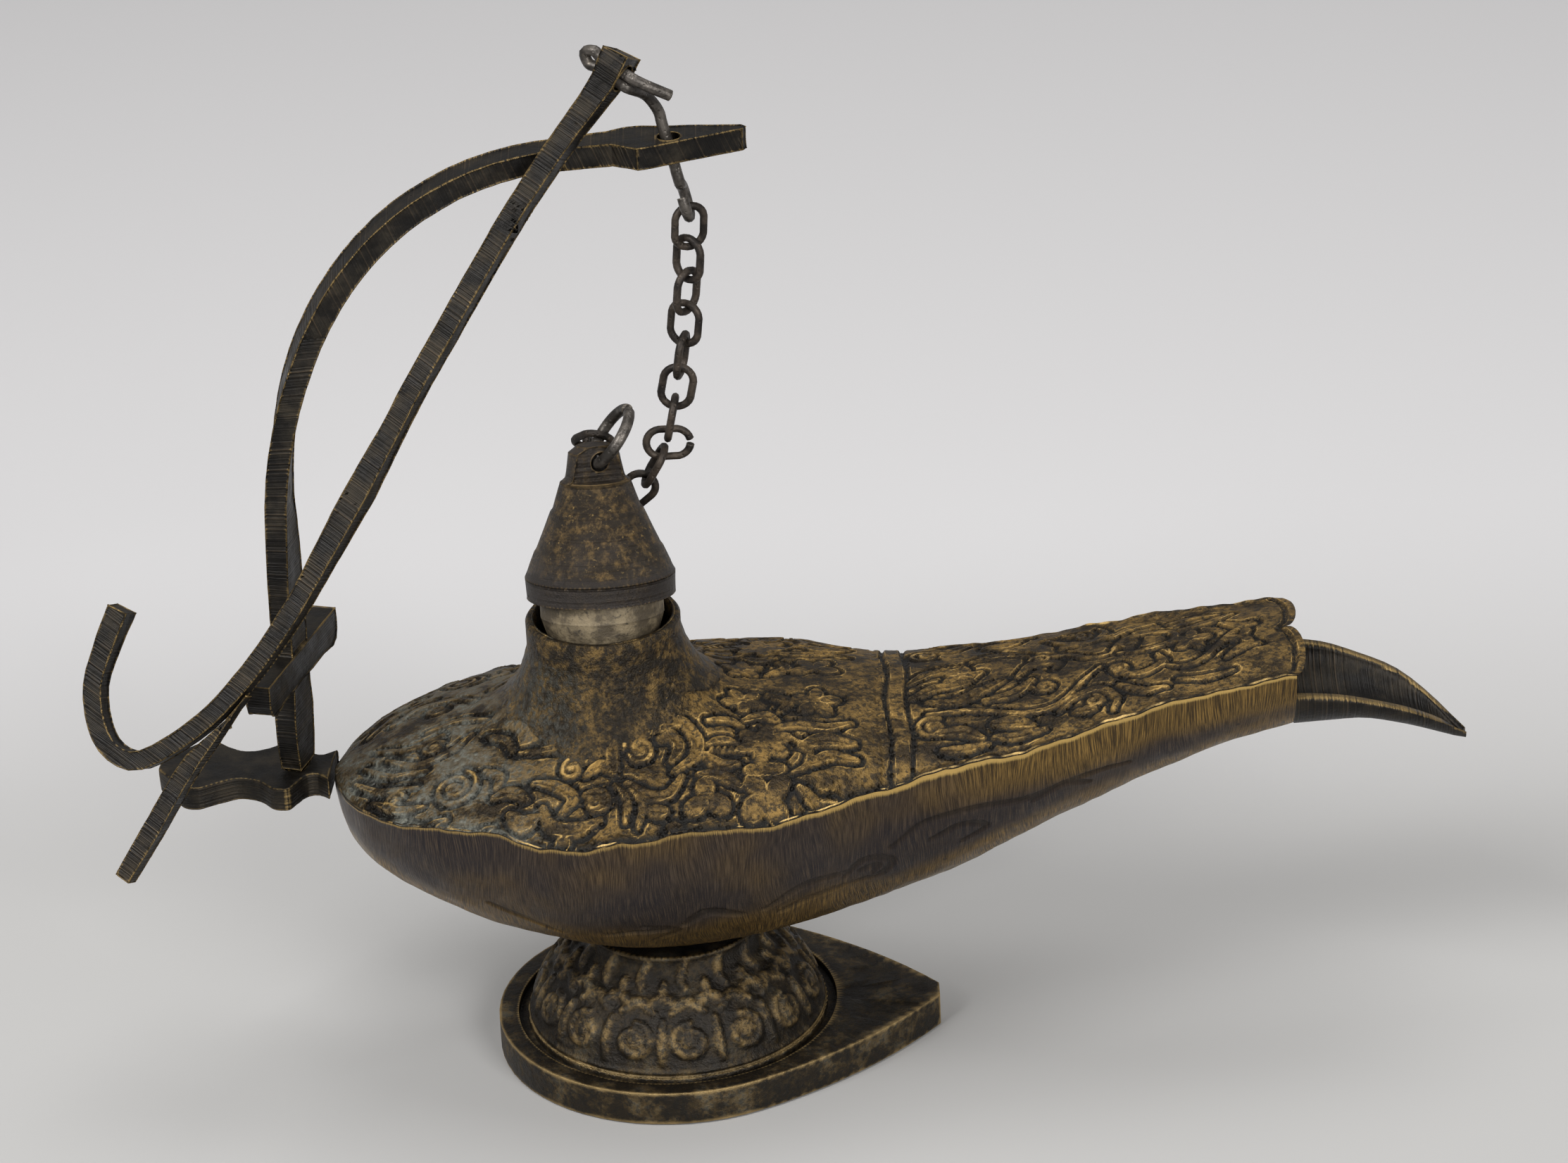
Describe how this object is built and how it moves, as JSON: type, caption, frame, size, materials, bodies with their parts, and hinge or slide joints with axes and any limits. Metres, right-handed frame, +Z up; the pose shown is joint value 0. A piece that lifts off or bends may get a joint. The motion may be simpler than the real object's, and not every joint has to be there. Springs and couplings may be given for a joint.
{
  "type": "oil_lamp",
  "caption": "Cast brass oil lamp on a foot, with a long spout ending in an open tongue, a loose plugged cap on a chain, and a strap arm with a swinging bar hanger that ends in a hook and a spike.",
  "frame": {"origin": "centre of the round part of the foot, on the surface that the lamp stands on", "axes": "+X towards the spout, +Y away from the side with the hanger's hook, +Z up"},
  "size_m": [0.1729, 0.0532, 0.1345],
  "materials": {
    "body_brass": "cast relief, dark patina in the hollows, golden where worn",
    "dark_brass": "hammered, nearly black, golden on worn edges",
    "cap_brass": "rough cast, brown with a worn speckle",
    "plug": "pale, pitted, dull",
    "wire": "dark drawn wire, dull",
    "chain_iron": "blackened wire, dull"
  },
  "bodies": {
    "root": {"foot": "body_brass", "bowl": "body_brass", "cover": "body_brass", "tail_plate": "dark_brass", "arm": "dark_brass"},
    "hook": {"wire_hook": "wire"},
    "hanger": {"hanger_bar": "dark_brass", "hanger_spike": "dark_brass"},
    "cap": {"cap_cone": "cap_brass", "cap_plug": "plug"},
    "ring": {"cap_ring": "wire"},
    "link_01": {"chain_link_01": "chain_iron"},
    "link_02": {"chain_link_02": "chain_iron"},
    "link_03": {"chain_link_03": "chain_iron"},
    "link_04": {"chain_link_04": "chain_iron"},
    "link_05": {"chain_link_05": "chain_iron"},
    "link_06": {"chain_link_06": "chain_iron"},
    "link_07": {"chain_link_07": "chain_iron"},
    "link_08": {"chain_link_08": "chain_iron"},
    "link_09": {"chain_link_09": "chain_iron"},
    "link_10": {"chain_link_10": "chain_iron"},
    "link_11": {"chain_link_11": "chain_iron"},
    "link_12": {"chain_link_12": "chain_iron"},
    "link_13": {"chain_link_13": "chain_iron"},
    "link_14": {"chain_link_14": "chain_iron"},
    "link_15": {"chain_link_15": "chain_iron"}
  },
  "joints": [
    {"name": "hook_swivel", "type": "hinge", "parent": "root", "child": "hook", "pos_m": [0.0049, 0.00662, 0.1195], "axis": [-0.2201, 0, 0.9755], "range_deg": [0, 40]},
    {"name": "hanger_swing", "type": "hinge", "parent": "hook", "child": "hanger", "pos_m": [-0.0012, 0.00277, 0.1308], "axis": [-0.7641, 0.48, 0.431], "range_deg": [0, 165]},
    {"name": "cap_lift", "type": "slide", "parent": "root", "child": "cap", "axis": [0, 0, 1], "range_m": [0, 0.018]},
    {"name": "ring_tilt", "type": "hinge", "parent": "cap", "child": "ring", "pos_m": [-0.0065, 0.00387, 0.07944], "axis": [-0.2756, 0.9347, -0.2244], "range_deg": [0, 25]},
    {"name": "link_01_swing", "type": "hinge", "parent": "root", "child": "link_01", "pos_m": [0.00692, 0.00662, 0.11055], "axis": [0, -1, 0], "range_deg": [0, 20]},
    {"name": "link_02_swing", "type": "hinge", "parent": "link_01", "child": "link_02", "pos_m": [0.00663, 0.00699, 0.10637], "axis": [0.9391, 0.3418, -0.0358], "range_deg": [0, 6]},
    {"name": "link_03_swing", "type": "hinge", "parent": "link_02", "child": "link_03", "pos_m": [0.00624, 0.00737, 0.10196], "axis": [0.7603, -0.638, -0.1223], "range_deg": [0, 20]},
    {"name": "link_04_swing", "type": "hinge", "parent": "link_03", "child": "link_04", "pos_m": [0.00578, 0.00776, 0.09756], "axis": [-0.6428, -0.766, 0.0005], "range_deg": [0, 20]},
    {"name": "link_05_swing", "type": "hinge", "parent": "link_04", "child": "link_05", "pos_m": [0.00524, 0.00814, 0.09317], "axis": [0.8965, -0.418, -0.1467], "range_deg": [0, 20]},
    {"name": "link_06_swing", "type": "hinge", "parent": "link_05", "child": "link_06", "pos_m": [0.00455, 0.00852, 0.0888], "axis": [-0.2586, -0.965, -0.0435], "range_deg": [0, 20]},
    {"name": "link_07_swing", "type": "hinge", "parent": "link_06", "child": "link_07", "pos_m": [0.00363, 0.0089, 0.08448], "axis": [0.9731, -0.0851, -0.2143], "range_deg": [0, 20]},
    {"name": "link_08_swing", "type": "hinge", "parent": "link_07", "child": "link_08", "pos_m": [0.00271, 0.00928, 0.08015], "axis": [-0.087, -0.9939, -0.0685], "range_deg": [0, 20]},
    {"name": "link_09_swing", "type": "hinge", "parent": "link_08", "child": "link_09", "pos_m": [0.00165, 0.00946, 0.07762], "axis": [0.9889, 0, -0.1483], "range_deg": [0, 20]},
    {"name": "link_10_swing", "type": "hinge", "parent": "link_09", "child": "link_10", "pos_m": [-0.00056, 0.00986, 0.07379], "axis": [-0.0348, -0.9958, -0.0846], "range_deg": [0, 20]},
    {"name": "link_15_swing", "type": "hinge", "parent": "ring", "child": "link_15", "pos_m": [-0.00588, 0.00843, 0.0808], "axis": [0.1923, 0.6991, 0.6887], "range_deg": [0, 15]},
    {"name": "link_14_swing", "type": "hinge", "parent": "link_15", "child": "link_14", "pos_m": [-0.0082, 0.0112, 0.07863], "axis": [-0.8122, -0.2805, 0.5115], "range_deg": [0, 15]},
    {"name": "link_13_swing", "type": "hinge", "parent": "link_14", "child": "link_13", "pos_m": [-0.00674, 0.01403, 0.07503], "axis": [0.0477, -0.7643, -0.643], "range_deg": [0, 15]},
    {"name": "link_12_swing", "type": "hinge", "parent": "link_13", "child": "link_12", "pos_m": [-0.00653, 0.01597, 0.071], "axis": [0.9672, 0.1837, 0.1753], "range_deg": [0, 15]},
    {"name": "link_11_swing", "type": "hinge", "parent": "link_12", "child": "link_11", "pos_m": [-0.00671, 0.01704, 0.06666], "axis": [-0.429, 0.8623, 0.269], "range_deg": [0, 15]}
  ]
}
